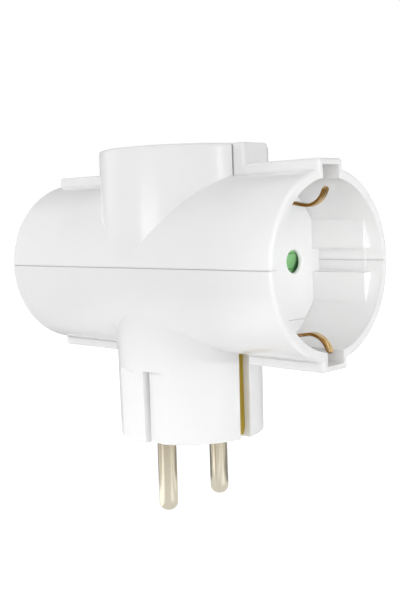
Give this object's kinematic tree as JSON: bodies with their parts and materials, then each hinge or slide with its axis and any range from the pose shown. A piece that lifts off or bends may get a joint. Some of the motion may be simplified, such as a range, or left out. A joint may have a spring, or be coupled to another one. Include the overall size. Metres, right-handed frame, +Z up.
{
  "type": "multi socket adapter",
  "caption": "White earthed plug-in socket adapter: crossed tubes with a round recessed socket at each end and on top, sprung shutters behind the pin holes and a round-pin plug below.",
  "frame": {"origin": "middle of the plug's face, between its pins", "axes": "+Z runs up from the plug to the top socket, the cross barrel lies along X and the pins stand side by side along Y"},
  "size_m": [0.0926, 0.044, 0.0916],
  "materials": {
    "white_plastic": "glossy moulded plastic",
    "green_plastic": "satin moulded plastic",
    "spring_steel": "drawn wire",
    "nickel_plate": "bright nickel plate",
    "brass_strip": "rolled strip"
  },
  "bodies": {
    "housing": {"upper_shell": "white_plastic", "lower_shell": "white_plastic", "right_socket_plate": "white_plastic", "left_socket_plate": "white_plastic", "top_socket_plate": "white_plastic", "front_pin": "nickel_plate", "rear_pin": "nickel_plate", "right_shutter_spring": "spring_steel", "left_shutter_spring": "spring_steel", "top_shutter_spring": "spring_steel", "front_busbar": "brass_strip", "rear_busbar": "brass_strip", "right_front_contact": "brass_strip", "right_rear_contact": "brass_strip", "left_front_contact": "brass_strip", "left_rear_contact": "brass_strip", "top_front_contact": "brass_strip", "top_rear_contact": "brass_strip", "right_earth_bracket": "brass_strip", "left_earth_bracket": "brass_strip", "top_earth_bracket": "brass_strip", "right_plug_earth_strip": "brass_strip", "left_plug_earth_strip": "brass_strip", "contact_rivets": "brass_strip", "earth_rivets": "brass_strip"},
    "right_shutter": {"right_shutter": "green_plastic"},
    "left_shutter": {"left_shutter": "green_plastic"},
    "top_shutter": {"top_shutter": "green_plastic"}
  },
  "joints": [
    {"name": "right_shutter_turn", "type": "hinge", "parent": "housing", "child": "right_shutter", "pos_m": [0.0277, 0, 0.0434], "axis": [1, 0, 0], "range_deg": [0, 40], "stiffness_Nm_per_rad": 0.004, "springref_deg": -28.65, "deforming": ["right_shutter_spring"]},
    {"name": "left_shutter_turn", "type": "hinge", "parent": "housing", "child": "left_shutter", "pos_m": [-0.0277, 0, 0.0434], "axis": [-1, 0, 0], "range_deg": [0, 40], "stiffness_Nm_per_rad": 0.004, "springref_deg": -28.65, "deforming": ["left_shutter_spring"]},
    {"name": "top_shutter_turn", "type": "hinge", "parent": "housing", "child": "top_shutter", "pos_m": [0, 0, 0.054], "axis": [0, 0, 1], "range_deg": [0, 40], "stiffness_Nm_per_rad": 0.004, "springref_deg": -28.65, "deforming": ["top_shutter_spring"]}
  ]
}
